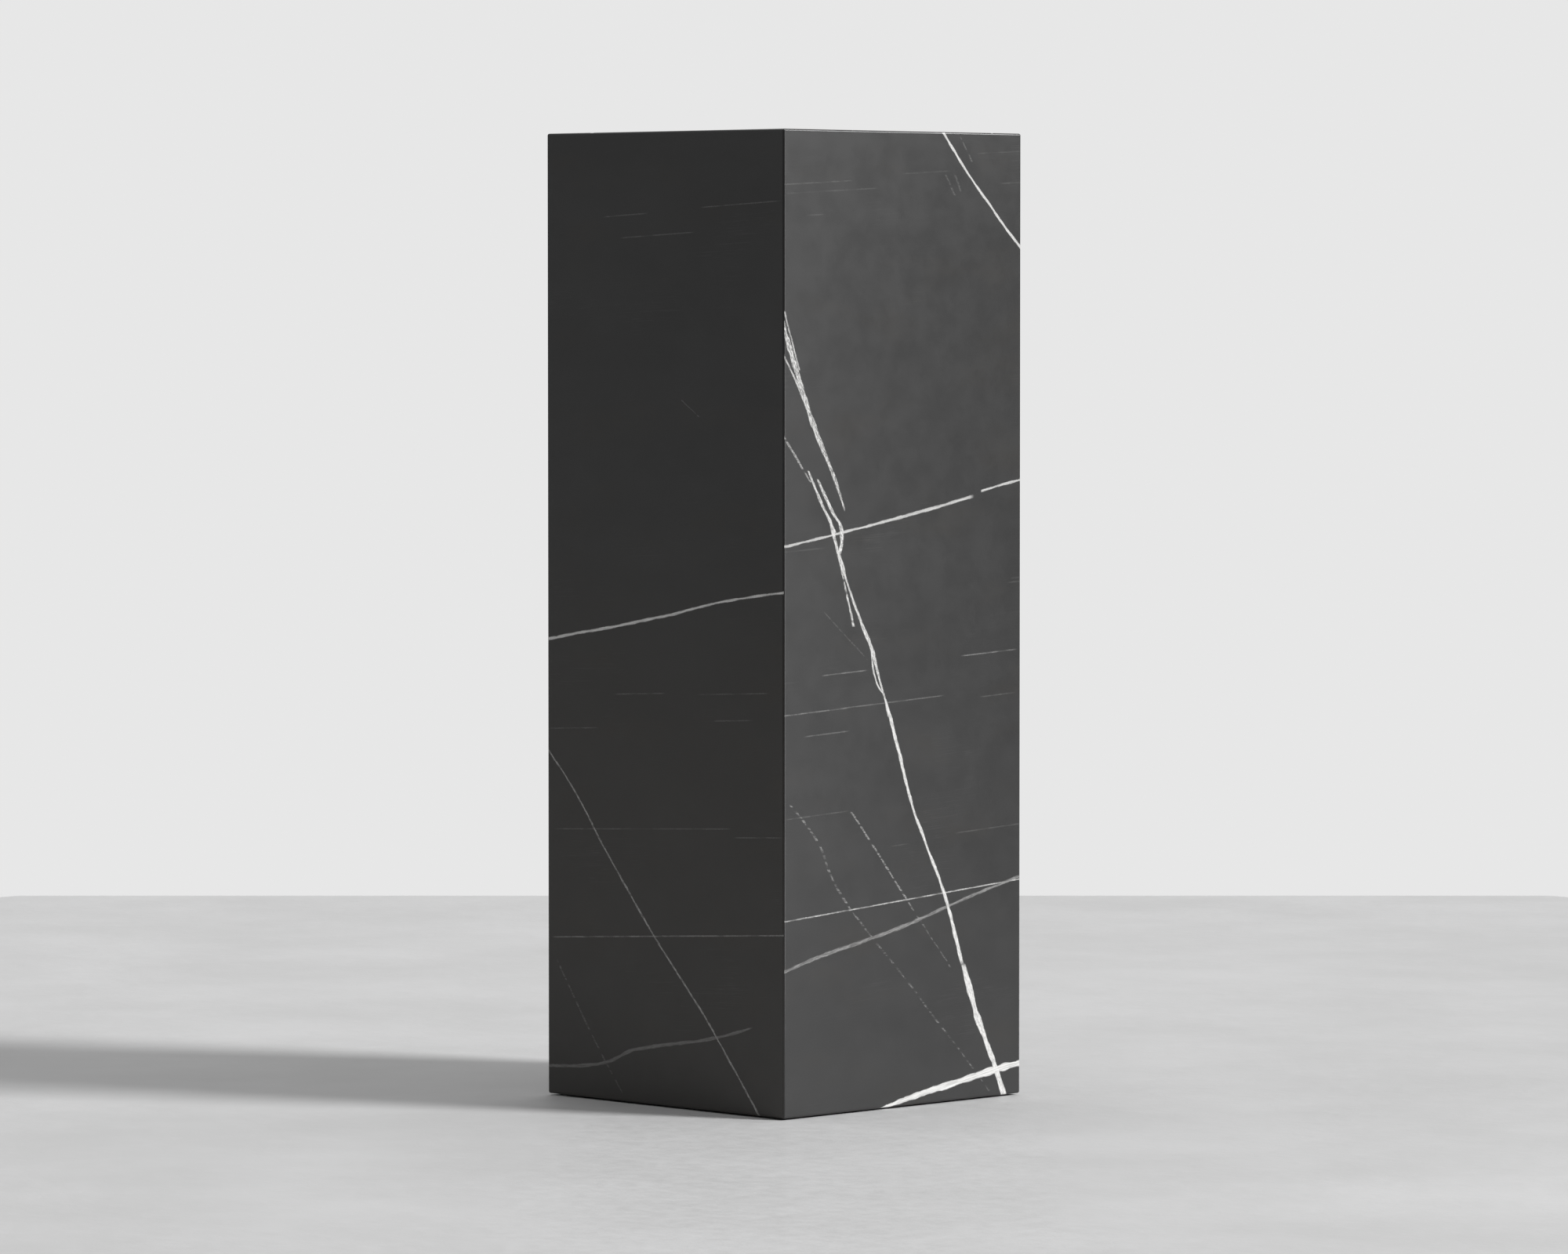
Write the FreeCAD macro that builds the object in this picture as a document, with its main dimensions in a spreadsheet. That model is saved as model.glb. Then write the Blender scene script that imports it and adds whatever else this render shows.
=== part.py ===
"""Display plinth: a square marble-clad plinth on four levelling feet.

Millimetres, +Z up.  The origin is the centre of the footprint, on the floor that the
feet stand on.  -Y is the front and +X is the right-hand side.  The feet are drawn
fully wound in.  From outside to inside: mitred stone, a thin bed of adhesive, a
plywood carcass with two ribs and four corner battens, and the feet in their inserts.
"""
import FreeCAD, Part
import Sketcher
import os

SIZES = [
    ("overall_side", 400, "width of the stone, front to back and side to side"),
    ("overall_height", 1150, "from the floor to the top of the stone"),
    ("shadow_gap", 2, "from the floor to the lower edge of the stone"),
    ("stone_thickness", 12, "side panels and top slab"),
    ("arris_radius", 2.5, "rounding of every outer edge of the stone"),
    ("mitre_joint", 0.5, "width of the resin line between two mitred stones"),
    ("adhesive_thickness", 2, "bed between stone and carcass"),
    ("strip_width", 30, "one strip of adhesive"),
    ("strip_count", 3, "strips on each face of the carcass"),
    ("strip_spacing", 115, "between the centres of neighbouring strips"),
    ("strip_end_margin", 25, "bare board past the end of a strip"),
    ("wall_thickness", 18, "plywood of the four walls"),
    ("lid_thickness", 18, "plywood under the top slab"),
    ("base_thickness", 24, "plywood that takes the feet"),
    ("rebate_depth", 9, "how far a side wall sits into the front and back walls"),
    ("rib_thickness", 12, "plywood of the two ribs"),
    ("rib_margin", 350, "from the base and from the lid to the nearest rib"),
    ("dado_depth", 5, "how far a rib sits into the walls"),
    ("hand_hole_radius", 50, "hole in the middle of each rib"),
    ("batten_width", 30, "square timber in each corner"),
    ("notch_clearance", 0.5, "between a rib and a corner batten"),
    ("screw_diameter", 4, "shank of every wood screw"),
    ("screw_head_diameter", 8, "countersunk head of every wood screw"),
    ("screw_clearance", 0.05, "between a screw and its hole, all round"),
    ("board_screw_length", 50, "corner, rib and lid screws"),
    ("base_screw_length", 60, "base screws"),
    ("block_screw_length", 45, "foot block screws"),
    ("corner_screw_margin", 78, "from the end of a wall to its first corner screw"),
    ("corner_screw_count", 5, "screws up each corner"),
    ("end_screw_margin", 76, "from the carcass face to a base or lid screw"),
    ("rib_screw_margin", 106, "from the carcass face to a rib screw"),
    ("block_width", 80, "square foot block"),
    ("block_height", 30, "foot block"),
    ("block_screw_margin", 16, "from the edge of a foot block to its screw"),
    ("foot_margin", 28, "from the inside of a wall to the middle of a foot"),
    ("stem_diameter", 10, "threaded stem of a foot"),
    ("stem_length", 45, "thread above the collar"),
    ("stem_bore_clearance", 1, "between the stem and the bore of the foot block"),
    ("running_clearance", 0.25, "between the moving and the fixed parts of a foot"),
    ("collar_width", 17, "hexagonal collar, across its flats"),
    ("collar_height", 6, "hexagonal collar"),
    ("insert_diameter", 16, "barrel of a threaded insert"),
    ("insert_clearance", 0.05, "between an insert and its hole"),
    ("flange_diameter", 26, "flange of a threaded insert"),
    ("flange_thickness", 1.5, "flange of a threaded insert"),
    ("pad_diameter", 36, "foot pad"),
    ("pad_height", 10, "foot pad"),
    ("pad_floor", 4, "pad below the disc of the stem"),
    ("pad_chamfer", 1, "outer edges of a foot pad"),
    ("disc_diameter", 16, "disc on the end of the stem, held in the pad"),
    ("disc_thickness", 3, "disc on the end of the stem"),
    ("stem_chamfer", 1, "upper end of the stem"),
]

CORNERS = {
    "front_left": (-1, -1),
    "front_right": (1, -1),
    "back_left": (-1, 1),
    "back_right": (1, 1),
}

# Distances from the vertical centre line.
STONE_OUT = "(Sizes.overall_side / 2)"
STONE_IN = f"({STONE_OUT} - Sizes.stone_thickness)"
CARCASS_OUT = f"({STONE_IN} - Sizes.adhesive_thickness)"
CARCASS_IN = f"({CARCASS_OUT} - Sizes.wall_thickness)"
WALL_MIDDLE = f"({CARCASS_OUT} - Sizes.wall_thickness / 2)"
SIDE_WALL_END = f"({CARCASS_IN} + Sizes.rebate_depth)"
RIB_EDGE = f"({CARCASS_IN} + Sizes.dado_depth)"
BATTEN_IN = f"({CARCASS_IN} - Sizes.batten_width)"
NOTCH_IN = f"({BATTEN_IN} - Sizes.notch_clearance)"
BLOCK_IN = f"({CARCASS_IN} - Sizes.block_width)"
BLOCK_SCREW_NEAR = f"({BLOCK_IN} + Sizes.block_screw_margin)"
BLOCK_SCREW_FAR = f"({CARCASS_IN} - Sizes.block_screw_margin)"
END_SCREW = f"({CARCASS_OUT} - Sizes.end_screw_margin)"
RIB_SCREW = f"({CARCASS_OUT} - Sizes.rib_screw_margin)"
FOOT_AXIS = f"({CARCASS_IN} - Sizes.foot_margin)"

# Heights above the floor.
COLLAR_BOTTOM = "(Sizes.pad_height + Sizes.running_clearance)"
COLLAR_TOP = f"({COLLAR_BOTTOM} + Sizes.collar_height)"
FLANGE_BOTTOM = f"({COLLAR_TOP} + Sizes.running_clearance)"
BASE_BOTTOM = f"({FLANGE_BOTTOM} + Sizes.flange_thickness)"
BASE_TOP = f"({BASE_BOTTOM} + Sizes.base_thickness)"
BLOCK_TOP = f"({BASE_TOP} + Sizes.block_height)"
STONE_BOTTOM = "Sizes.shadow_gap"
STONE_TOP = "Sizes.overall_height"
SLAB_BOTTOM = f"({STONE_TOP} - Sizes.stone_thickness)"
LID_TOP = f"({SLAB_BOTTOM} - Sizes.adhesive_thickness)"
WALL_TOP = f"({LID_TOP} - Sizes.lid_thickness)"
LOWER_RIB = f"({BASE_TOP} + Sizes.rib_margin)"
UPPER_RIB = f"({WALL_TOP} - Sizes.rib_margin - Sizes.rib_thickness)"
LOWER_RIB_MIDDLE = f"({LOWER_RIB} + Sizes.rib_thickness / 2)"
DISC_TOP = "(Sizes.pad_floor + Sizes.disc_thickness)"
STEM_TOP = f"({COLLAR_TOP} + Sizes.stem_length)"

# Each of two mitred stones stops short of the diagonal by half the joint, which is
# this far along the face of the stone.
JOINT_SETBACK = "(Sizes.mitre_joint / sqrt(2))"

X_WAY = FreeCAD.Vector(1, 0, 0)
Z_WAY = FreeCAD.Vector(0, 0, 1)

# A screw's section is drawn pointing up in an XZ plane, and turned in that plane's own
# axes, where Z is the way out of the plane.
SCREW_TURNS = {
    "up": FreeCAD.Rotation(),
    "down": FreeCAD.Rotation(Z_WAY, 180),
    "back": FreeCAD.Rotation(X_WAY, -90),
}

parts = []


def opposite(expression):
    """The same distance on the other side of the centre line."""
    return f"-{expression}"


def both_ways(distance):
    """The range from one side of the centre line to the other."""
    return opposite(distance), distance


def span(sign, near, far):
    """The range between two distances from the centre line, on one side of it."""
    if sign > 0:
        return near, far
    return opposite(far), opposite(near)


def foot_position(corner):
    """Where the axis of a foot stands."""
    return [FOOT_AXIS if sign > 0 else opposite(FOOT_AXIS) for sign in CORNERS[corner]]


def place(feature, x="0", y="0", z="0"):
    """Tie the position of a feature to three expressions."""
    for axis, expression in zip("xyz", (x, y, z)):
        feature.setExpression(f"Placement.Base.{axis}", expression)


def fit_box(feature, x_range, y_range, z_range):
    """Tie a box to its lowest and highest place along each axis."""
    ranges = (x_range, y_range, z_range)
    for side, (low, high) in zip(("Length", "Width", "Height"), ranges):
        feature.setExpression(side, f"{high} - ({low})")
    place(feature, *(low for low, high in ranges))
    return feature


def block(name, x_range, y_range, z_range):
    """A plain box, for a piece of board or timber or for the space that it takes."""
    return fit_box(doc.addObject("Part::Box", name), x_range, y_range, z_range)


def cylinder(name, radius, z_range, x="0", y="0"):
    """An upright cylinder."""
    feature = doc.addObject("Part::Cylinder", name)
    feature.setExpression("Radius", radius)
    feature.setExpression("Height", f"{z_range[1]} - ({z_range[0]})")
    place(feature, x, y, z_range[0])
    return feature


def fuse(name, shapes):
    """One shape made of several."""
    feature = doc.addObject("Part::MultiFuse", name)
    feature.Shapes = shapes
    return feature


def cut(name, base, tool):
    """A shape with another one taken out of it."""
    feature = doc.addObject("Part::Cut", name)
    feature.Base = base
    feature.Tool = tool
    return feature


def new_body(name):
    """A body that may hold several separate solids."""
    body = doc.addObject("PartDesign::Body", name)
    body.AllowCompound = True
    return body


def origin_feature(body, role):
    """One of the body's own origin axes or planes."""
    return next(item for item in body.Origin.OriginFeatures if item.Role == role)


def row(body, axis, length, count):
    """A pattern along an axis, over a whole length."""
    pattern = body.newObject("PartDesign::LinearPattern", "Row")
    pattern.Direction = (origin_feature(body, axis), [""])
    pattern.setExpression("Length", length)
    pattern.setExpression("Occurrences", count)
    return pattern


def four_sides(body):
    """A pattern of four, round the vertical centre line."""
    pattern = body.newObject("PartDesign::PolarPattern", "FourSides")
    pattern.Axis = (origin_feature(body, "Z_Axis"), [""])
    pattern.Angle = 360
    pattern.Occurrences = 4
    return pattern


def mirrored(body, plane):
    """A mirror in one of the upright planes through the centre."""
    mirror = body.newObject("PartDesign::Mirrored", "Mirror")
    mirror.MirrorPlane = (origin_feature(body, plane), [""])
    return mirror


def repeat(body, originals, transforms):
    """Repeat features of a body by several patterns, one after another."""
    pattern = body.newObject("PartDesign::MultiTransform", "Repeat")
    pattern.Originals = originals
    pattern.Transformations = transforms
    body.Tip = pattern


def outline(body, name, corners):
    """A closed outline in the body's XZ plane, with every corner tied to the sheet."""
    sketch = body.newObject("Sketcher::SketchObject", name)
    sketch.AttachmentSupport = [(origin_feature(body, "XZ_Plane"), "")]
    sketch.MapMode = "FlatFace"
    points = []
    for corner in corners:
        across, up = (float(sheet.evalExpression(expression)) for expression in corner)
        points.append(FreeCAD.Vector(across, up, 0))
    for index, point in enumerate(points):
        following = points[(index + 1) % len(points)]
        sketch.addGeometry(Part.LineSegment(point, following), False)
    for index, (across, up) in enumerate(corners):
        following = (index + 1) % len(corners)
        sketch.addConstraint(Sketcher.Constraint("Coincident", index, 2, following, 1))
        for kind, expression in (("DistanceX", across), ("DistanceY", up)):
            value = float(sheet.evalExpression(expression))
            number = sketch.addConstraint(Sketcher.Constraint(kind, -1, 1, index, 1, value))
            sketch.setExpression(f"Constraints[{number}]", expression)
    return sketch


def turning(body, profile):
    """A solid turned round the upright axis of an outline of half of its section."""
    feature = body.newObject("PartDesign::Revolution", "Turning")
    feature.Profile = (profile, [""])
    feature.ReferenceAxis = (profile, ["V_Axis"])
    feature.Angle = 360
    return feature


def turned(name, corners):
    """A body turned round its own upright axis from half of its section."""
    body = new_body(name)
    turning(body, outline(body, "Profile", corners))
    return body


def keep(feature):
    """Mark a feature as one of the finished pieces."""
    feature.Label = feature.Name
    parts.append(feature)
    return feature


def make_sheet():
    """The sheet that holds every driving size."""
    table = doc.addObject("Spreadsheet::Sheet", "Sizes")
    for number, (alias, value, meaning) in enumerate(SIZES, start=1):
        table.set(f"A{number}", meaning)
        table.set(f"B{number}", str(value))
        table.setAlias(f"B{number}", alias)
    return table


def stone_envelope():
    """The outside of the finished stone, a block with every edge rounded."""
    body = new_body("StoneEnvelope")
    solid = body.newObject("PartDesign::AdditiveBox", "Block")
    across = both_ways(STONE_OUT)
    fit_box(solid, across, across, (STONE_BOTTOM, STONE_TOP))
    doc.recompute()
    rounding = body.newObject("PartDesign::Fillet", "Arrises")
    rounding.Base = (solid, [f"Face{number}" for number in range(1, 7)])
    rounding.setExpression("Radius", "Sizes.arris_radius")
    return body


def mitred_stone(name, envelope, upright, placement, position):
    """A stone whose mitres run in at 45 degrees from its outer to its inner face.

    An upright panel has a plain lower edge and three mitres, and the slab has four.
    The wedge is drawn with its outer face at y = 0 and its thickness along +Y.
    """
    wedge = doc.addObject("Part::Wedge", f"{name}_wedge")
    wedge.Placement = placement
    outer = f"({STONE_OUT} - {JOINT_SETBACK})"
    inner = f"({STONE_IN} - {JOINT_SETBACK})"
    across = {"Xmin": opposite(outer), "Xmax": outer, "X2min": opposite(inner), "X2max": inner}
    if upright:
        outer_top = f"{STONE_TOP} - {JOINT_SETBACK}"
        inner_top = f"{SLAB_BOTTOM} - {JOINT_SETBACK}"
        along = {"Zmin": STONE_BOTTOM, "Zmax": outer_top, "Z2min": STONE_BOTTOM, "Z2max": inner_top}
    else:
        along = {"Zmin": opposite(outer), "Zmax": outer, "Z2min": opposite(inner), "Z2max": inner}
    depth = {"Ymin": "0", "Ymax": "Sizes.stone_thickness"}
    for edge, expression in {**across, **along, **depth}.items():
        wedge.setExpression(edge, expression)
    place(wedge, *position)
    stone = doc.addObject("Part::Common", name)
    stone.Base = wedge
    stone.Tool = envelope
    return keep(stone)


def stonework():
    """Four mitred panels, the mitred slab on top, and the resin in the mitres."""
    envelope = stone_envelope()
    faces = {
        "front_stone_panel": (0, ("0", opposite(STONE_OUT), "0")),
        "right_stone_panel": (90, (STONE_OUT, "0", "0")),
        "back_stone_panel": (180, ("0", STONE_OUT, "0")),
        "left_stone_panel": (270, (opposite(STONE_OUT), "0", "0")),
    }
    stones = []
    for name, (turn, position) in faces.items():
        facing = FreeCAD.Placement(FreeCAD.Vector(), FreeCAD.Rotation(Z_WAY, turn))
        stones.append(mitred_stone(name, envelope, True, facing, position))
    face_up = FreeCAD.Placement(FreeCAD.Vector(), FreeCAD.Rotation(X_WAY, -90))
    slab_place = ("0", "0", STONE_TOP)
    stones.append(mitred_stone("top_stone_slab", envelope, False, face_up, slab_place))
    across = both_ways(STONE_IN)
    hollow = block("StoneHollow", across, across, ("0", SLAB_BOTTOM))
    shell = cut("StoneShell", envelope, hollow)
    keep(cut("mitre_joint_resin", shell, fuse("AllStones", stones)))


def adhesive_strips():
    """Strips of adhesive, up the back of each panel and under the slab."""
    row_length = "((Sizes.strip_count - 1) * Sizes.strip_spacing)"
    first = f"(0 - {row_length} / 2 - Sizes.strip_width / 2)"
    first_strip = (first, f"{first} + Sizes.strip_width")

    on_sides = new_body("side_adhesive_strips")
    strip = on_sides.newObject("PartDesign::AdditiveBox", "Strip")
    low = f"{BASE_BOTTOM} + Sizes.strip_end_margin"
    high = f"{LID_TOP} - Sizes.strip_end_margin"
    fit_box(strip, first_strip, span(-1, CARCASS_OUT, STONE_IN), (low, high))
    strips = row(on_sides, "X_Axis", row_length, "Sizes.strip_count")
    repeat(on_sides, [strip], [strips, four_sides(on_sides)])
    keep(on_sides)

    on_top = new_body("top_adhesive_strips")
    strip = on_top.newObject("PartDesign::AdditiveBox", "Strip")
    end = f"({CARCASS_OUT} - Sizes.strip_end_margin)"
    fit_box(strip, first_strip, both_ways(end), (LID_TOP, SLAB_BOTTOM))
    repeat(on_top, [strip], [row(on_top, "X_Axis", row_length, "Sizes.strip_count")])
    keep(on_top)


def screw(body, direction, head, length, clearance):
    """One countersunk wood screw, or its hole where there is clearance.

    Head is the middle of the flat of the head, and the screw points in the direction.
    """
    shank = f"(Sizes.screw_diameter / 2 + {clearance})"
    head_radius = f"(Sizes.screw_head_diameter / 2 + {clearance})"
    whole = f"({length} + {clearance})"
    section = [
        ("0", "0"),
        (head_radius, "0"),
        (shank, f"{head_radius} - {shank}"),
        (shank, f"{whole} - Sizes.screw_diameter"),
        ("0", whole),
    ]
    profile = outline(body, "Profile", section)
    profile.AttachmentOffset = FreeCAD.Placement(FreeCAD.Vector(), SCREW_TURNS[direction])
    x, y, z = head
    for axis, expression in zip("xyz", (x, z, f"0 - ({y})")):
        profile.setExpression(f"AttachmentOffset.Base.{axis}", expression)
    return turning(body, profile)


def screw_group(name, direction, head, length, patterns, clearance="0"):
    """Identical screws, all made from one by patterns, or the holes for them."""
    body = new_body(name)
    feature = screw(body, direction, head, length, clearance)
    repeat(body, [feature], patterns(body))
    return body


def on_both_walls(body):
    """Up the four corners, in the front and back walls."""
    length = f"{WALL_TOP} - {BASE_TOP} - 2 * Sizes.corner_screw_margin"
    up = row(body, "Z_Axis", length, "Sizes.corner_screw_count")
    return [up, mirrored(body, "YZ_Plane"), mirrored(body, "XZ_Plane")]


def two_on_each_side(body):
    """Two on each of the four sides."""
    return [mirrored(body, "YZ_Plane"), four_sides(body)]


def two_on_each_side_per_rib(body):
    """Two on each of the four sides, at the height of each rib."""
    up = row(body, "Z_Axis", f"{UPPER_RIB} - {LOWER_RIB}", "2")
    return [up, *two_on_each_side(body)]


def wood_screws():
    """Every group of wood screws, and one shape that holds all of their holes."""
    board_length = "Sizes.board_screw_length"
    front = opposite(CARCASS_OUT)
    first_corner_screw = f"{BASE_TOP} + Sizes.corner_screw_margin"
    groups = [
        ("corner_screws", "back", (WALL_MIDDLE, front, first_corner_screw),
         board_length, on_both_walls),
        ("rib_screws", "back", (RIB_SCREW, front, LOWER_RIB_MIDDLE),
         board_length, two_on_each_side_per_rib),
        ("top_board_screws", "down", (END_SCREW, opposite(WALL_MIDDLE), LID_TOP),
         board_length, two_on_each_side),
        ("base_board_screws", "up", (END_SCREW, opposite(WALL_MIDDLE), BASE_BOTTOM),
         "Sizes.base_screw_length", two_on_each_side),
        ("foot_block_screws", "down",
         (BLOCK_SCREW_NEAR, opposite(BLOCK_SCREW_FAR), BLOCK_TOP),
         "Sizes.block_screw_length", two_on_each_side),
    ]
    holes = []
    for name, direction, head, length, patterns in groups:
        keep(screw_group(name, direction, head, length, patterns))
        hole = (f"{name}_holes", direction, head, length, patterns, "Sizes.screw_clearance")
        holes.append(screw_group(*hole))
    return fuse("ScrewHoles", holes)


def base_and_lid(screw_holes):
    """The board that takes the feet and the board under the slab."""
    outside = both_ways(CARCASS_OUT)
    insert_radius = "Sizes.insert_diameter / 2 + Sizes.insert_clearance"
    holes = [screw_holes]
    for corner in CORNERS:
        size_and_place = (insert_radius, (BASE_BOTTOM, BASE_TOP), *foot_position(corner))
        holes.append(cylinder(f"InsertHole_{corner}", *size_and_place))
    base = block("BaseBlank", outside, outside, (BASE_BOTTOM, BASE_TOP))
    keep(cut("base_board", base, fuse("BaseHoles", holes)))
    lid = block("LidBlank", outside, outside, (WALL_TOP, LID_TOP))
    keep(cut("top_board", lid, screw_holes))


def ribs(screw_holes):
    """Two level ribs, notched round the corner battens.  Returns them without holes."""
    wall_height = (BASE_TOP, WALL_TOP)
    openings = [screw_holes, cylinder("HandHole", "Sizes.hand_hole_radius", wall_height)]
    for corner, (x_sign, y_sign) in CORNERS.items():
        notch = (span(x_sign, NOTCH_IN, RIB_EDGE), span(y_sign, NOTCH_IN, RIB_EDGE))
        openings.append(block(f"Notch_{corner}", *notch, wall_height))
    rib_openings = fuse("RibOpenings", openings)
    edges = both_ways(RIB_EDGE)
    blanks = []
    for name, low in (("lower_rib", LOWER_RIB), ("upper_rib", UPPER_RIB)):
        rib_range = (low, f"{low} + Sizes.rib_thickness")
        blanks.append(block(f"{name}_blank", edges, edges, rib_range))
        keep(cut(name, blanks[-1], rib_openings))
    return blanks


def walls(screw_holes, rib_blanks):
    """Side walls let into rebates in the front and back walls, with dados for the ribs."""
    wall_height = (BASE_TOP, WALL_TOP)
    side_length = both_ways(SIDE_WALL_END)
    side_cuts = fuse("SideWallCuts", [screw_holes, *rib_blanks])
    side_blanks = []
    for name, sign in (("left_wall_board", -1), ("right_wall_board", 1)):
        thickness = span(sign, CARCASS_IN, CARCASS_OUT)
        side_blanks.append(block(f"{name}_blank", thickness, side_length, wall_height))
        keep(cut(name, side_blanks[-1], side_cuts))
    rebated_cuts = fuse("RebatedWallCuts", [side_cuts, *side_blanks])
    for name, sign in (("front_wall_board", -1), ("back_wall_board", 1)):
        thickness = span(sign, CARCASS_IN, CARCASS_OUT)
        blank = block(f"{name}_blank", both_ways(CARCASS_OUT), thickness, wall_height)
        keep(cut(name, blank, rebated_cuts))


def corner_timbers(screw_holes):
    """A foot block in each corner of the base, and a batten standing on it."""
    bore = "Sizes.stem_diameter / 2 + Sizes.stem_bore_clearance"
    for corner, (x_sign, y_sign) in CORNERS.items():
        x_range = span(x_sign, BLOCK_IN, CARCASS_IN)
        y_range = span(y_sign, BLOCK_IN, CARCASS_IN)
        z_range = (BASE_TOP, BLOCK_TOP)
        foot_block = block(f"BlockBlank_{corner}", x_range, y_range, z_range)
        stem_bore = cylinder(f"StemBore_{corner}", bore, z_range, *foot_position(corner))
        openings = fuse(f"BlockOpenings_{corner}", [screw_holes, stem_bore])
        keep(cut(f"foot_block_{corner}", foot_block, openings))
        x_range = span(x_sign, BATTEN_IN, CARCASS_IN)
        y_range = span(y_sign, BATTEN_IN, CARCASS_IN)
        keep(block(f"corner_batten_{corner}", x_range, y_range, (BLOCK_TOP, WALL_TOP)))


def foot_insert(corner):
    """A flanged, threaded insert, pressed up into the base.  Its thread is plain."""
    bore = "(Sizes.stem_diameter / 2 + Sizes.running_clearance)"
    flange = "Sizes.flange_diameter / 2"
    barrel = "Sizes.insert_diameter / 2"
    section = [
        (bore, FLANGE_BOTTOM),
        (flange, FLANGE_BOTTOM),
        (flange, BASE_BOTTOM),
        (barrel, BASE_BOTTOM),
        (barrel, BASE_TOP),
        (bore, BASE_TOP),
    ]
    return turned(f"foot_insert_{corner}", section)


def foot_pad(corner):
    """A moulded pad with a socket that the disc of the stem turns in."""
    neck = "Sizes.stem_diameter / 2 + Sizes.running_clearance"
    socket = "Sizes.disc_diameter / 2 + Sizes.running_clearance"
    socket_bottom = "Sizes.pad_floor - Sizes.running_clearance"
    socket_top = f"{DISC_TOP} + Sizes.running_clearance"
    edge = "Sizes.pad_diameter / 2"
    inside_edge = f"{edge} - Sizes.pad_chamfer"
    section = [
        ("0", "0"),
        (inside_edge, "0"),
        (edge, "Sizes.pad_chamfer"),
        (edge, "Sizes.pad_height - Sizes.pad_chamfer"),
        (inside_edge, "Sizes.pad_height"),
        (neck, "Sizes.pad_height"),
        (neck, socket_top),
        (socket, socket_top),
        (socket, socket_bottom),
        ("0", socket_bottom),
    ]
    return turned(f"foot_pad_{corner}", section)


def foot_stem(corner):
    """A steel stem with a disc below, a hexagonal collar and a plain stand-in thread."""
    radius = "Sizes.stem_diameter / 2"
    disc = "Sizes.disc_diameter / 2"
    section = [
        ("0", "Sizes.pad_floor"),
        (disc, "Sizes.pad_floor"),
        (disc, DISC_TOP),
        (radius, DISC_TOP),
        (radius, f"{STEM_TOP} - Sizes.stem_chamfer"),
        (f"{radius} - Sizes.stem_chamfer", STEM_TOP),
        ("0", STEM_TOP),
    ]
    body = turned(f"foot_stem_{corner}", section)
    collar = body.newObject("PartDesign::AdditivePrism", "Collar")
    collar.Polygon = 6
    collar.setExpression("Circumradius", "Sizes.collar_width / sqrt(3)")
    collar.setExpression("Height", "Sizes.collar_height")
    place(collar, z=COLLAR_BOTTOM)
    return body


def feet():
    """Four levelling feet, one in each corner."""
    for corner in CORNERS:
        for piece in (foot_insert, foot_stem, foot_pad):
            body = piece(corner)
            place(body, *foot_position(corner))
            keep(body)


def check():
    """Stop if a feature failed or if a piece has no valid solid."""
    for item in doc.Objects:
        if "Invalid" in item.State or "Error" in item.State:
            raise RuntimeError(f"{item.Name} failed: {item.State}")
    for piece in parts:
        shape = piece.Shape
        if shape.isNull() or not shape.isValid() or not shape.Solids:
            raise RuntimeError(f"{piece.Label} has no valid solid")


def write():
    """Write each piece to a file of its own and list what was written."""
    os.makedirs("parts", exist_ok=True)
    for piece in parts:
        piece.Shape.exportStep(f"parts/{piece.Label}.step")
        volume = piece.Shape.Volume / 1000
        print(f"{piece.Label}: {len(piece.Shape.Solids)} solids, {volume:.2f} cm3")


doc = FreeCAD.newDocument("DisplayPlinth")
sheet = make_sheet()
doc.recompute()
stonework()
adhesive_strips()
screw_holes = wood_screws()
base_and_lid(screw_holes)
walls(screw_holes, ribs(screw_holes))
corner_timbers(screw_holes)
feet()
doc.recompute()
check()
write()
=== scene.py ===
import math

import bpy
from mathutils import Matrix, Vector


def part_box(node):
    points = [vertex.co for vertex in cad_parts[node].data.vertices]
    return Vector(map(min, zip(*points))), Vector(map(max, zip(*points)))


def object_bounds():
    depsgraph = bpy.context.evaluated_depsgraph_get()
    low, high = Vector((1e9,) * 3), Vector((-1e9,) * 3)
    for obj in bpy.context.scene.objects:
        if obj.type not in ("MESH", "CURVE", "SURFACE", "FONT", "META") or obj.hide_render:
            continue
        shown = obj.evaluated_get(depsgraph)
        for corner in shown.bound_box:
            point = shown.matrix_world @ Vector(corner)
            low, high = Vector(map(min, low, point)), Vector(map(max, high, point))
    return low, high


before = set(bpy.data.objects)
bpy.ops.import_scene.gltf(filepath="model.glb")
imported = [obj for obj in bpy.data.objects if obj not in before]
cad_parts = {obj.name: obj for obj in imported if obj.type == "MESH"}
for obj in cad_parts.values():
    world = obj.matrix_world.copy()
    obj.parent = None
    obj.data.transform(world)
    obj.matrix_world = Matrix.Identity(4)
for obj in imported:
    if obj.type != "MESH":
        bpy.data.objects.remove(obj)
cad_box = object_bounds()

# ---------------------------------------------------------------------------------------------
# A display plinth: black marble with white calcite veins over a plywood carcass on four
# levelling feet. Every CAD node keeps its mesh and gets a procedural material here.
# Inside the materials lengths are in millimetres: "across" is measured from the left-hand edge
# of a face as one stands before it, and "up" from the floor.
# ---------------------------------------------------------------------------------------------

MILLIMETRE = 0.001
SIDE = (cad_box[1].x - cad_box[0].x) / MILLIMETRE
HEIGHT = cad_box[1].z / MILLIMETRE

# Camera: square on to the near corner, a little below the top and tilted slightly down.
CAMERA_AZIMUTH = 45.0
CAMERA_DISTANCE = 8.914
CAMERA_HEIGHT = 0.964
CAMERA_TILT = 2.587
LENS = 171.4
SENSOR = 36.0
FARTHEST_SEEN = 100.0

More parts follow.
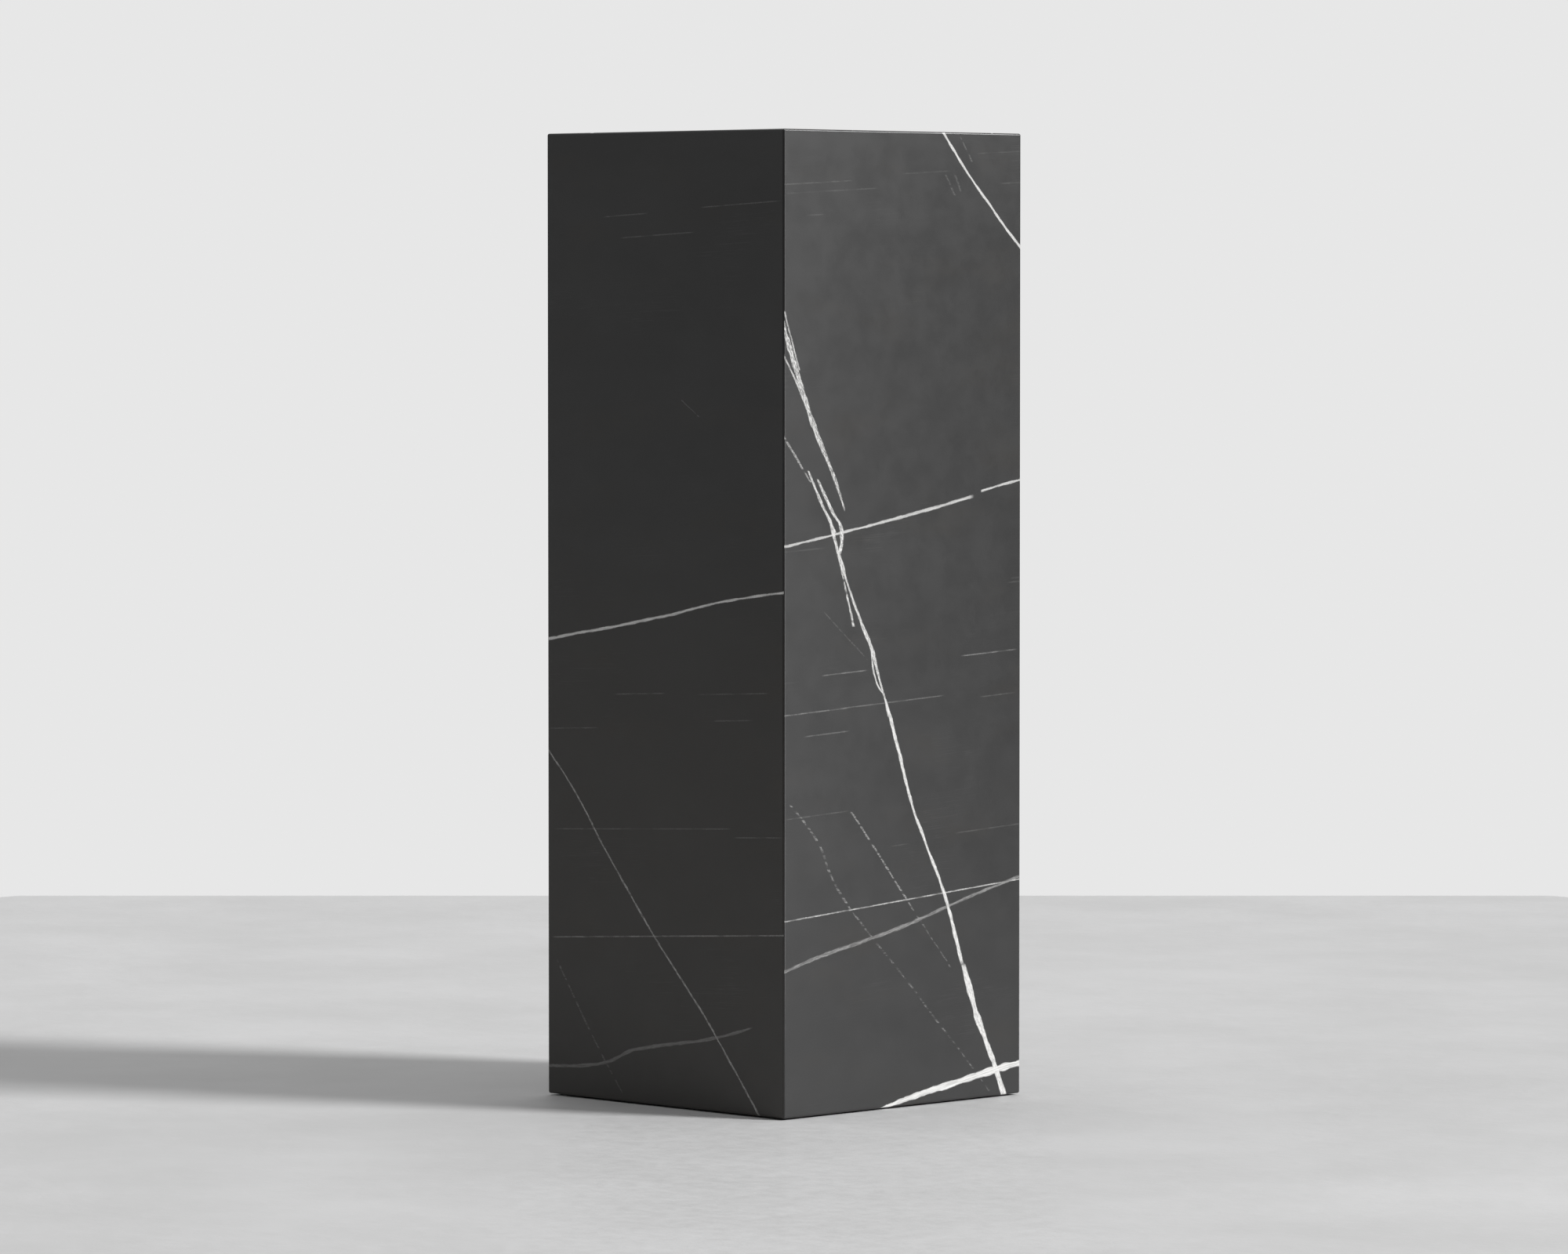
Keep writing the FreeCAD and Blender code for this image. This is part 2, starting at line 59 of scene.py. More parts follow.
# Light: a sun for the key, the soft light of the studio by direction, and two panels that
# are only seen as reflections, each with its place, size and power.
KEY_AZIMUTH = 25.0
KEY_ELEVATION = 34.0
KEY_SPREAD = 12.0
KEY_STRENGTH = 3.0
WALL_COLOUR = (0.80, 0.80, 0.80)
SOFT_BASE = 0.05
SOFT_WALL = 0.5
SOFT_SIDE = 0.10
SOFT_AWAY = 0.12
SOFT_ABOVE = 0.22
SHEEN_PANELS = (
    ("side_sheen", (1.5, 0.32, 0.6), (0.8, 1.6), 12.5),
    ("top_sheen", (0.95, 0.98, 1.7), (0.65, 0.45), 11.0),
)
FLOOR_REACH = 2.94
FLOOR_SIDES = 8
FLOOR_DARK = (0.57, 0.57, 0.57, 1)
FLOOR_LIGHT = (0.65, 0.65, 0.653, 1)


# ---------------------------------------------------------------------------------------------
# Node helpers
# ---------------------------------------------------------------------------------------------


class Nodes:
    """Adds and joins the nodes of one shader tree."""

    def __init__(self, tree):
        self.tree = tree
        tree.nodes.clear()

    def add(self, kind, **settings):
        node = self.tree.nodes.new("ShaderNode" + kind)
        for name, value in settings.items():
            setattr(node, name, value)
        return node

    def feed(self, socket, value):
        if isinstance(value, bpy.types.NodeSocket):
            self.tree.links.new(value, socket)
        else:
            socket.default_value = value

    def math(self, operation, *values):
        node = self.add("Math", operation=operation)
        for socket, value in zip(node.inputs, values):
            self.feed(socket, value)
        return node.outputs[0]

    def plus(self, a, b):
        return self.math("ADD", a, b)

    def minus(self, a, b):
        return self.math("SUBTRACT", a, b)

    def times(self, a, b):
        return self.math("MULTIPLY", a, b)

    def scaled(self, value, factor, offset):
        return self.math("MULTIPLY_ADD", value, factor, offset)

    def ramp(self, value, low, high, start=0.0, end=1.0, smooth=True):
        kind = "SMOOTHSTEP" if smooth else "LINEAR"
        node = self.add("MapRange", interpolation_type=kind)
        for socket, number in zip(node.inputs, (value, low, high, start, end)):
            self.feed(socket, number)
        return node.outputs[0]

    def point(self, x=0.0, y=0.0, z=0.0):
        node = self.add("CombineXYZ")
        for socket, value in zip(node.inputs, (x, y, z)):
            self.feed(socket, value)
        return node.outputs[0]

    def spread(self, place, *sizes):
        """The place counted in these sizes, so that noise there has features as large."""
        return self.point(*(self.times(value, 1 / size) for value, size in zip(place, sizes)))

    def noise(self, place, detail=2.0, roughness=0.5, distortion=0.0):
        """Noise with features about one unit across."""
        node = self.add("TexNoise")
        self.feed(node.inputs["Vector"], place)
        node.inputs["Scale"].default_value = 1.0
        node.inputs["Detail"].default_value = detail
        node.inputs["Roughness"].default_value = roughness
        node.inputs["Distortion"].default_value = distortion
        return node.outputs["Fac"]

    def wander(self, along, detail=1.0):
        """Noise along a line, with features about one unit long."""
        node = self.add("TexNoise", noise_dimensions="1D")
        self.feed(node.inputs["W"], along)
        node.inputs["Scale"].default_value = 1.0
        node.inputs["Detail"].default_value = detail
        return node.outputs["Fac"]

    def blend(self, factor, first, second, kind="MIX"):
        node = self.add("Mix", data_type="RGBA", blend_type=kind)
        self.feed(node.inputs[0], factor)
        self.feed(node.inputs[6], first)
        self.feed(node.inputs[7], second)
        return node.outputs[2]

    def bump(self, height, depth):
        """A surface relief of this depth, in metres, for a height from 0 to 1."""
        node = self.add("Bump")
        node.inputs["Strength"].default_value = 1.0
        node.inputs["Distance"].default_value = depth
        self.feed(node.inputs["Height"], height)
        return node.outputs["Normal"]

    def local(self):
        """The place on the part, in millimetres, as x, y and z."""
        place = self.add("TexCoord").outputs["Object"]
        parts = self.add("SeparateXYZ")
        self.feed(parts.inputs[0], place)
        return [self.times(output, 1 / MILLIMETRE) for output in parts.outputs]

    def surface(self, colour, roughness, normal, **fixed):
        """The Principled shader; fixed numbers are set on its own sockets."""
        shader = self.add("BsdfPrincipled")
        self.feed(shader.inputs["Base Color"], colour)
        self.feed(shader.inputs["Roughness"], roughness)
        self.feed(shader.inputs["Normal"], normal)
        for name, value in fixed.items():
            shader.inputs[name.replace("_", " ")].default_value = value
        output = self.add("OutputMaterial")
        self.feed(output.inputs["Surface"], shader.outputs[0])


def new_material(name):
    material = bpy.data.materials.new(name)
    material.use_nodes = True
    return material, Nodes(material.node_tree)


def group(name, inputs, outputs):
    """A node group with float sockets. Returns the group, its nodes, its inputs and its outputs."""
    tree = bpy.data.node_groups.new(name, "ShaderNodeTree")
    for socket in inputs:
        tree.interface.new_socket(socket, in_out="INPUT", socket_type="NodeSocketFloat")
    for socket in outputs:
        tree.interface.new_socket(socket, in_out="OUTPUT", socket_type="NodeSocketFloat")
    nodes = Nodes(tree)
    entry = tree.nodes.new("NodeGroupInput")
    leave = tree.nodes.new("NodeGroupOutput")
    return tree, nodes, entry.outputs, leave.inputs


# ---------------------------------------------------------------------------------------------
# Marble
# ---------------------------------------------------------------------------------------------

VEIN_INPUTS = (
    "Offset",
    "Width",
    "Along",
    "Length",
    "Strength",
    "Fibre",
    "Gaps",
    "Thread",
    "Grit",
    "Seed",
)
STREAK_INPUTS = ("Across", "Offset", "Start", "End", "Width", "Strength", "Breaks", "Grit")
STREAK_FADE = 12.0
STREAK_SOFTNESS = 0.6


def make_vein_group():
    """The whiteness of one vein from the distance to its centre line and its width there."""
    tree, nodes, given, result = group("vein", VEIN_INPUTS, ["Mask"])
    travel = nodes.math("MULTIPLY_ADD", given["Along"], given["Length"], given["Seed"])
    swell = nodes.ramp(nodes.wander(nodes.times(travel, 1 / 24)), 0.25, 0.75, 0.75, 1.2)
    half = nodes.times(nodes.times(given["Width"], 0.5), swell)
    fray = nodes.scaled(given["Fibre"], 1.1, 0.5)
    grit = nodes.times(nodes.minus(given["Grit"], 0.5), nodes.times(fray, 2.0))
    inside = nodes.plus(nodes.minus(half, nodes.math("ABSOLUTE", given["Offset"])), grit)
    softness = nodes.math("MINIMUM", nodes.scaled(given["Width"], 0.12, 0.35), 0.8)
    body = nodes.ramp(inside, nodes.times(softness, -1.0), softness)
    threads = nodes.noise(
        nodes.point(
            nodes.times(given["Offset"], 1 / 1.3),
            nodes.math("DIVIDE", travel, given["Thread"]),
            given["Seed"],
        ),
        detail=3.0,
        roughness=0.75,
    )
    dark = nodes.ramp(threads, 0.38, 0.6, 1.0, 0.0)
    kept = nodes.minus(1.0, nodes.times(given["Fibre"], dark))
    broken = nodes.wander(nodes.scaled(travel, 1 / 9, 40.0), detail=3.0)
    level = nodes.scaled(given["Gaps"], 0.7, 0.1)
    joined = nodes.ramp(broken, nodes.minus(level, 0.1), nodes.plus(level, 0.1))
    tips = nodes.times(
        nodes.ramp(given["Along"], 0.0, 0.03), nodes.ramp(given["Along"], 1.0, 0.97)
    )
    mask = nodes.times(nodes.times(body, kept), nodes.times(joined, tips))
    nodes.feed(result["Mask"], nodes.times(mask, given["Strength"]))
    return tree


def make_streak_group():
    """The whiteness of one thin straight streak along the bedding."""
    tree, nodes, given, result = group("streak", STREAK_INPUTS, ["Mask"])
    fray = nodes.scaled(given["Grit"], 2.4, -1.2)
    distance = nodes.math("ABSOLUTE", nodes.plus(given["Offset"], fray))
    half = nodes.times(given["Width"], 0.5)
    outer = nodes.plus(half, STREAK_SOFTNESS)
    inner = nodes.minus(half, STREAK_SOFTNESS)
    body = nodes.ramp(distance, outer, inner)
    start = nodes.ramp(given["Across"], given["Start"], nodes.plus(given["Start"], STREAK_FADE))
    end = nodes.ramp(given["Across"], given["End"], nodes.minus(given["End"], STREAK_FADE))
    window = nodes.times(start, end)
    mask = nodes.times(nodes.times(body, window), given["Breaks"])
    nodes.feed(result["Mask"], nodes.times(mask, given["Strength"]))
    return tree


VEIN = make_vein_group()
STREAK = make_streak_group()

STEEP, LEVEL = "steep", "level"


def vein(run, strength, fibre, gaps, *points, thread=6.0):
    """One vein. Steep veins follow their height and level ones their distance across.

    A point is (across, up, width), and the width is measured across for a steep vein and up for
    a level one. Strength is the whiteness, fibre how streaky it is, gaps how broken, and thread
    the length of its streaks.
    """
    return {
        "run": run,
        "strength": strength,
        "fibre": fibre,
        "gaps": gaps,
        "thread": thread,
        "points": points,
    }


def straight(strength, width, *ends):
    """Thin streaks, each from (across, up) to (across, up) as four numbers."""
    return [(strength, width) + end for end in ends]


def rising(strength, width, rise, *starts):
    """Thin streaks that rise to the right, each given as (across, up, length)."""
    return [
        (strength, width, left, up, left + length, up + rise * length)
        for left, up, length in starts
    ]


# The right-hand face: a long steep vein that gathers near the left edge and runs down to the
# right, crossed by flatter ones.
RIGHT_VEINS = (
    # Across the top right corner.
    vein(STEEP, 0.95, 0.35, 0.0,
         (250, 1170, 4.5), (300, 1110, 4), (350, 1060, 4.5), (415, 1000, 4.5), thread=18.0),
    vein(STEEP, 0.14, 0.9, 0.5, (295, 1145, 2), (315, 1115, 2.5), thread=2.0),
    vein(STEEP, 0.1, 1.0, 0.45, (270, 1100, 3), (285, 1075, 3), thread=2.0),
    vein(STEEP, 0.09, 1.0, 0.45, (285, 1100, 3), (295, 1080, 3), thread=2.0),
    # The upper arm and its side strands, from the left edge.
    vein(STEEP, 0.9, 0.85, 0.0,
         (-5, 935, 6), (20, 870, 7.5), (55, 795, 7), (80, 750, 5), (100, 705, 2)),
    vein(STEEP, 0.7, 0.5, 0.2, (0, 940, 2), (25, 870, 2)),
    vein(STEEP, 0.75, 0.6, 0.2, (-5, 895, 2.5), (30, 840, 2.5), (55, 790, 1.5)),
    # Two strands that gather where the level vein crosses them.
    vein(STEEP, 0.55, 0.9, 0.45, (-5, 800, 3), (20, 770, 3.5), (45, 740, 2), thread=2.0),
    vein(STEEP, 0.9, 0.7, 0.1, (40, 755, 2.5), (60, 720, 4), (85, 680, 4)),
    vein(STEEP, 0.95, 0.7, 0.1,
         (55, 745, 2), (80, 705, 5), (95, 680, 5), (90, 655, 4), thread=4.0),
    # The long vein to the foot of the face, with a split a little above the middle.
    vein(STEEP, 0.95, 0.65, 0.0,
         (75, 700, 3), (90, 655, 5.5), (110, 610, 3), (130, 570, 5.5), (145, 545, 6),
         (160, 505, 3), (175, 460, 4)),
    vein(STEEP, 0.97, 0.4, 0.0,
         (165, 490, 2), (185, 440, 5), (210, 365, 4.4), (240, 305, 4.2), (270, 245, 5),
         (300, 160, 6)),
    vein(STEEP, 0.97, 0.4, 0.0,
         (300, 165, 8), (325, 100, 9.5), (350, 50, 8.5), (380, -15, 9)),
    vein(STEEP, 0.9, 0.55, 0.0, (145, 550, 2), (150, 515, 2.6), (165, 490, 2)),
    vein(STEEP, 0.85, 0.7, 0.35, (90, 650, 2.5), (105, 605, 2.6), (115, 570, 4.5), thread=4.0),
    # The level vein, with a short break near its right-hand end.
    vein(LEVEL, 0.75, 0.3, 0.0,
         (-10, 665, 2.8), (90, 680, 2.6), (240, 705, 3.4), (320, 720, 2.8), thread=24.0),
    vein(LEVEL, 0.75, 0.3, 0.0, (330, 725, 2.4), (410, 740, 2.8), thread=24.0),
    # Dotted threads.
    vein(STEEP, 0.09, 1.0, 0.45, (65, 590, 2), (140, 530, 2), thread=2.0),
    vein(STEEP, 0.36, 1.0, 0.6,
         (5, 370, 3), (60, 315, 3.5), (75, 285, 3.5), (140, 210, 3), thread=2.0),
    vein(STEEP, 0.24, 1.0, 0.62, (135, 215, 3), (215, 140, 3), (350, 5, 2.5), thread=2.0),
    vein(STEEP, 0.46, 1.0, 0.5, (110, 355, 3), (180, 275, 3), (215, 235, 2.5), thread=2.0),
    vein(STEEP, 0.2, 1.0, 0.55, (210, 240, 2.5), (280, 160, 2), thread=2.0),
    # The grey vein and the white one at the foot.
    vein(LEVEL, 0.32, 0.65, 0.0,
         (-10, 170, 3.6), (50, 185, 3.8), (200, 215, 4), (320, 245, 3), (410, 265, 4),
         thread=16.0),
    vein(LEVEL, 1.0, 0.32, 0.0,
         (155, 0, 1), (205, 10, 6), (300, 25, 8), (410, 40, 8), thread=36.0),
)
RIGHT_STREAKS = (
    rising(0.72, 1.1, 0.07, (-20, 230, 440))
    + rising(0.22, 1.1, 0.05, (60, 515, 80), (295, 530, 100), (-15, 470, 125))
    + rising(0.13, 1.1, 0.05, (80, 475, 190), (30, 445, 80), (380, 620, 40))
    + rising(0.08, 1.0, 0.05, (375, 615, 45), (325, 480, 70), (285, 320, 135))
    + rising(0.08, 1.0, 0.05, (0, 350, 110), (175, 310, 35), (-10, 1085, 125))
    + rising(0.05, 1.2, 0.05, (0, 1075, 160), (195, 1100, 85), (320, 1125, 100))
    + rising(0.05, 1.2, 0.05, (35, 1050, 35), (360, 1090, 60), (-10, 660, 80))
)

# The front face: quieter, with one thin level vein and one steep one.
FRONT_VEINS = (
    vein(LEVEL, 0.85, 0.3, 0.0,
         (-10, 545, 3), (80, 560, 3.2), (200, 580, 3), (300, 600, 2.5), (410, 615, 2.4),
         thread=20.0),
    vein(STEEP, 0.42, 0.8, 0.0,
         (-10, 425, 3.5), (40, 375, 2.8), (100, 300, 2.8), (180, 205, 3.2), (270, 110, 3),
         (365, -5, 3), thread=5.0),
    vein(LEVEL, 0.17, 0.4, 0.0,
         (-10, 35, 3), (95, 45, 4), (150, 65, 4), (270, 85, 3.5), (350, 105, 2), thread=14.0),
    vein(STEEP, 0.14, 1.0, 0.55, (15, 165, 2.5), (75, 80, 3), (130, 10, 2), thread=2.0),
    vein(STEEP, 0.15, 0.9, 0.4, (230, 835, 2), (260, 815, 2), thread=2.0),
)
FRONT_STREAKS = (
    rising(0.26, 1.1, 0.065, (5, 190, 415))
    + rising(0.1, 1.0, 0.05, (125, 1025, 130), (95, 1050, 80), (260, 1060, 140))
    + rising(0.09, 1.0, 0.05, (0, 440, 90), (110, 485, 95), (255, 490, 125))
    + rising(0.09, 1.0, 0.05, (280, 460, 70), (10, 320, 305), (315, 325, 85))
)

# The two far faces and the top carry veins of the same kind in places of their own.
BACK_VEINS = (
    vein(STEEP, 1.0, 0.5, 0.0,
         (298, 1166, 5), (283, 1120, 5.5), (262, 1066, 6), (251, 1020, 6), (232, 962, 6.5),
         (219, 921, 7), (196, 868, 7), (184, 826, 6.5), (171, 772, 6), (148, 715, 6.5),
         (137, 668, 6), (121, 622, 5.5), (98, 570, 5), (84, 528, 5), (62, 480, 4.5),
         (36, 431, 4), (-14, 352, 4)),
    vein(STEEP, 0.9, 0.7, 0.25,
         (226, 928, 2), (214, 902, 3), (205, 868, 3.5), (190, 838, 3), (183, 806, 2)),
    vein(STEEP, 0.85, 0.6, 0.3, (150, 700, 2), (140, 690, 3), (122, 655, 3), (112, 628, 2)),
    vein(LEVEL, 0.8, 0.25, 0.0,
         (-12, 815, 4), (48, 806, 4.5), (102, 801, 4.5), (166, 787, 5), (221, 781, 5),
         (290, 764, 4.5), (352, 757, 4), (412, 744, 4)),
    vein(STEEP, 0.95, 0.55, 0.0,
         (412, 432, 6), (372, 381, 6.5), (348, 338, 7), (311, 286, 7), (296, 251, 7.5),
         (262, 196, 8), (238, 148, 8), (221, 104, 8.5), (187, 52, 9), (160, -12, 9)),
    vein(LEVEL, 0.3, 0.25, 0.0,
         (-12, 236, 4), (54, 226, 4.5), (128, 214, 4.5), (189, 208, 4), (262, 190, 4.5),
         (338, 181, 4), (412, 166, 4)),
    vein(STEEP, 0.4, 0.3, 0.55,
         (402, 744, 2), (371, 700, 2), (352, 662, 2), (318, 618, 2), (291, 570, 2),
         (270, 536, 1.5)),
)
BACK_STREAKS = (
    straight(0.7, 1.3, (-20, 129, 210, 118), (200, 118, 420, 105))
    + straight(0.2, 1.2, (30, 1036, 160, 1028), (250, 905, 398, 897), (14, 602, 96, 598))
    + straight(0.14, 1.2, (210, 492, 330, 485), (60, 396, 150, 392), (288, 634, 420, 626))
)
LEFT_VEINS = (
    vein(LEVEL, 0.95, 0.3, 0.0,
         (-12, 948, 3), (40, 955, 3.4), (96, 967, 3.6), (150, 974, 3.4), (214, 990, 3.6),
         (282, 1002, 3.2), (340, 1016, 3), (412, 1030, 3)),
    vein(STEEP, 0.9, 0.6, 0.05,
         (412, 812, 5), (376, 766, 5), (357, 728, 5.5), (322, 680, 6), (304, 641, 6),
         (268, 590, 5.5), (249, 548, 5), (214, 500, 5), (190, 455, 5), (166, 421, 5),
         (131, 372, 4.5), (110, 330, 4), (76, 284, 4), (52, 241, 4), (-12, 160, 4)),
    vein(STEEP, 0.7, 0.5, 0.3,
         (330, 700, 2), (314, 672, 3), (296, 640, 3), (276, 618, 2)),
    vein(LEVEL, 0.45, 0.25, 0.0,
         (-12, 396, 4), (62, 404, 4.2), (120, 417, 4.2), (196, 428, 4), (270, 443, 4),
         (344, 452, 3.6), (412, 466, 3.6)),
    vein(LEVEL, 0.9, 0.6, 0.0,
         (412, 118, 6), (352, 108, 6), (300, 94, 6.5), (238, 86, 6), (180, 70, 5),
         (120, 60, 3.5), (64, 46, 1.5)),
    vein(STEEP, 0.35, 0.3, 0.55,
         (120, 1152, 2), (104, 1112, 2), (88, 1086, 2), (60, 1042, 2), (46, 1008, 1.5)),
)
LEFT_STREAKS = (
    straight(0.5, 1.3, (-20, 668, 190, 678), (180, 677, 420, 690))
    + straight(0.14, 1.2, (150, 1080, 300, 1088), (20, 852, 118, 857), (220, 560, 380, 569))
    + straight(0.12, 1.2, (40, 330, 180, 338), (250, 300, 396, 308), (60, 210, 190, 217))
)
TOP_VEINS = (
    vein(STEEP, 1.0, 0.5, 0.0,
         (262, 412, 6), (248, 372, 6), (226, 331, 6.5), (214, 287, 6), (186, 240, 6),
         (170, 196, 6.5), (140, 150, 6), (124, 98, 5.5), (96, 46, 5), (72, -12, 5)),
    vein(STEEP, 0.85, 0.6, 0.3, (220, 320, 2), (204, 290, 3), (192, 262, 3), (178, 226, 2)),
    vein(LEVEL, 0.8, 0.25, 0.0,
         (-12, 288, 4), (62, 296, 4.5), (138, 311, 4.5), (220, 322, 4.5), (306, 338, 4),
         (412, 352, 4)),
    vein(STEEP, 0.4, 0.3, 0.5, (392, 250, 2), (350, 186, 2), (318, 130, 2), (280, 62, 1.5)),
)
TOP_STREAKS = (
    straight(0.45, 1.3, (-20, 92, 420, 116))
    + straight(0.14, 1.2, (210, 232, 340, 240), (30, 172, 120, 177), (250, 40, 392, 48))
)


def follow(nodes, place, points, low, high, pick):
    """A curve through a vein's points: place runs 0 to 1, and the result is in millimetres.

    Pick is 1 for the centre line and 2 for the width.
    """
    bottom = min(point[pick] for point in points)
    top = max(point[pick] for point in points)
    spread = max(top - bottom, 0.001)
    node = nodes.add("FloatCurve")
    curve = node.mapping.curves[0]
    span = high - low
    ordered = sorted(((point[0] - low) / span, (point[pick] - bottom) / spread) for point in points)
    while len(curve.points) < len(ordered):
        curve.points.new(0.5, 0.5)
    for knot, location in zip(curve.points, ordered):
        knot.location = location
        knot.handle_type = "AUTO"
    node.mapping.update()
    nodes.feed(node.inputs["Value"], place)
    return nodes.scaled(node.outputs[0], spread, bottom)


# Veins this far apart in their noise look unrelated.
SEED_STEP = 17.3


def add_vein(nodes, across, up, sideways, upward, grit, number, data):
    """Joins one vein of a face to its tree and returns its mask."""
    steep = data["run"] == STEEP
    runs, wide = (1, 0) if steep else (0, 1)
    points = [(point[runs], point[wide], point[2]) for point in data["points"]]
    low = min(point[0] for point in points)
    high = max(point[0] for point in points)
    run, other = (up, sideways) if steep else (across, upward)
    place = nodes.ramp(run, float(low), float(high), smooth=False)
    centre = follow(nodes, place, points, low, high, 1)
    width = follow(nodes, place, points, low, high, 2)
    ends = data["points"][0], data["points"][-1]
    length = math.dist(ends[0][:2], ends[1][:2])
    offset = nodes.minus(other, centre)
    mask = nodes.add("Group", node_tree=VEIN)
    values = (
        offset,
        width,
        place,
        length,
        data["strength"],
        data["fibre"],
        data["gaps"],
        data["thread"],
        grit,
        SEED_STEP * number,
    )
    for name, value in zip(VEIN_INPUTS, values):
        nodes.feed(mask.inputs[name], value)
    return mask.outputs[0]


def add_streak(nodes, across, up, breaks, grit, data):
    """Joins one straight streak of a face to its tree and returns its mask."""
    strength, width, left, left_up, right, right_up = data
    slope = (right_up - left_up) / (right - left)
    offset = nodes.minus(up, nodes.scaled(across, slope, left_up - slope * left))
    mask = nodes.add("Group", node_tree=STREAK)
    values = (across, offset, float(left), float(right), width, strength, breaks, grit)
    for name, value in zip(STREAK_INPUTS, values):
        nodes.feed(mask.inputs[name], value)
    return mask.outputs[0]


# A share of the whiteness so far, too small to move the vein that it is added to.
IN_TURN = 1e-7
ARRIS = 2.5
ARRIS_ROUGHNESS = 0.2
BEDDING_RISE = 0.045
BEDDING_WHITENESS = 0.022
# Heights in millimetres where the painted floor bounce towards the foot of a face begins and is
# full.
PAINTED_BOUNCE_BEGINS, PAINTED_BOUNCE_FULL = 800.0, 350.0
CRYSTAL_RELIEF = 0.00002
STONE_INDEX = 1.46
STONE_DARK = (0.0262, 0.0262, 0.0262, 1)
STONE_LIGHT = (0.0318, 0.0318, 0.0318, 1)
# A brownish tone of the stone, also used for the painted floor bounce towards the foot.
STONE_BROWN_AND_BOUNCE = (0.036, 0.0315, 0.0255, 1)
VEIN_COLOUR = (0.83, 0.825, 0.81, 1)


def marble(name, across_axis, sign, up_axis, veins, streaks, seed, painted_bounce_warmth=0.0):
    """Honed black marble for one face, with that face's own veins.

    The last number is how far the stone is painted lighter and browner towards the foot of the
    face, a brownish tint with painted light bounced up from the floor.
    """
    material, nodes = new_material(name)
    local = nodes.local()
    across = nodes.scaled(local[across_axis], float(sign), SIDE / 2)
    up = local[up_axis] if up_axis == 2 else nodes.plus(local[up_axis], SIDE / 2)

    def field(size, stretch=1.0, detail=2.0, roughness=0.5, tilt=0.0, shift=0.0):
        """Noise whose features are this many millimetres, longer along the bedding."""
        level = nodes.math("MULTIPLY_ADD", across, -tilt, up) if tilt else up
        spread = nodes.point(
            nodes.times(across, 1 / (size * stretch)),
            nodes.times(level, 1 / size),
            seed + shift,
        )
        return nodes.noise(spread, detail, roughness)

    # The lines of the veins waver a little.
    slow_sideways = nodes.scaled(field(70, shift=1.0), 5.0, -2.5)
    slow_upward = nodes.scaled(field(70, shift=2.0), 3.0, -1.5)
    quick = nodes.scaled(field(12, shift=3.0), 2.0, -1.0)
    sideways = nodes.plus(nodes.plus(across, slow_sideways), quick)
    upward = nodes.plus(nodes.plus(up, slow_upward), nodes.times(quick, 0.5))
    grit = field(1.3, detail=2.0, roughness=0.6, shift=4.0)

    # Each vein's place depends a very little on the one before it, so that the renderer works
    # them out in turn and they fit in its shader stack.
    breaks = nodes.ramp(field(6, stretch=4.0, detail=3.0, shift=5.0), 0.36, 0.6, 0.25, 1.0)
    white = 0.0
    for number, data in enumerate(veins):
        places = (across, up, sideways, upward)
        if number:
            places = [nodes.scaled(white, IN_TURN, place) for place in places]
        mask = add_vein(nodes, *places, grit, number, data)
        white = nodes.math("MAXIMUM", mask, white)
    for data in streaks:
        places = [nodes.scaled(white, IN_TURN, place) for place in (across, up)]
        mask = add_streak(nodes, *places, breaks, grit, data)
        white = nodes.math("MAXIMUM", mask, white)

    # Faint bedding lines in patches, nearly level and rising a little to the right.
    lines = field(2.6, stretch=60.0, detail=1.0, tilt=BEDDING_RISE, shift=6.0)
    patches = nodes.ramp(field(90, stretch=2.0, detail=2.0, shift=7.0), 0.52, 0.72)
    thin = nodes.ramp(nodes.math("ABSOLUTE", nodes.minus(lines, 0.5)), 0.03, 0.0)
    bedding = nodes.times(nodes.times(thin, patches), nodes.times(breaks, BEDDING_WHITENESS))
    white = nodes.math("MAXIMUM", white, bedding)

    # The dark ground: clouds, brownish patches, painted floor bounce towards the foot where it is
    # asked for, and the fine crystal grain.
    clouds = nodes.ramp(field(85, stretch=1.8, detail=4.0, roughness=0.6, shift=8.0), 0.3, 0.7)
    grain = field(1.1, detail=1.0, shift=9.0)
    ground = nodes.blend(clouds, STONE_DARK, STONE_LIGHT)
    brown_and_bounce = nodes.ramp(field(60, stretch=2.5, detail=3.0, shift=10.0), 0.5, 0.8, 0.0, 0.3)
    # Painted light: the foot of the face made lighter and browner, standing in for light bounced up
    # from the floor.
    if painted_bounce_warmth:
        brown_and_bounce = nodes.plus(brown_and_bounce, nodes.ramp(up, PAINTED_BOUNCE_BEGINS, PAINTED_BOUNCE_FULL, 0.0, painted_bounce_warmth))
    ground = nodes.blend(brown_and_bounce, ground, STONE_BROWN_AND_BOUNCE)
    speckle = nodes.ramp(grain, 0.3, 0.7, 0.88, 1.12)
    ground = nodes.blend(1.0, ground, nodes.point(speckle, speckle, speckle), "MULTIPLY")
    colour = nodes.blend(white, ground, VEIN_COLOUR)

    # Honed faces, and rounded edges polished brighter by hand.
    top = HEIGHT if up_axis == 2 else SIDE
    nearest = nodes.math("MINIMUM", across, nodes.minus(SIDE, across))
    nearest = nodes.math("MINIMUM", nearest, nodes.minus(top, up))
    if up_axis != 2:
        nearest = nodes.math("MINIMUM", nearest, up)
    rounded = nodes.ramp(nearest, ARRIS + 0.4, ARRIS - 0.4)
    polish = nodes.ramp(field(40, detail=3.0, roughness=0.6, shift=11.0), 0.3, 0.7, 0.35, 0.41)
    honed = nodes.scaled(white, 0.1, polish)
    roughness = nodes.math("MULTIPLY_ADD", rounded, nodes.minus(ARRIS_ROUGHNESS, honed), honed)
    normal = nodes.bump(grain, CRYSTAL_RELIEF)
    nodes.surface(colour, roughness, normal, IOR=STONE_INDEX)
    return material


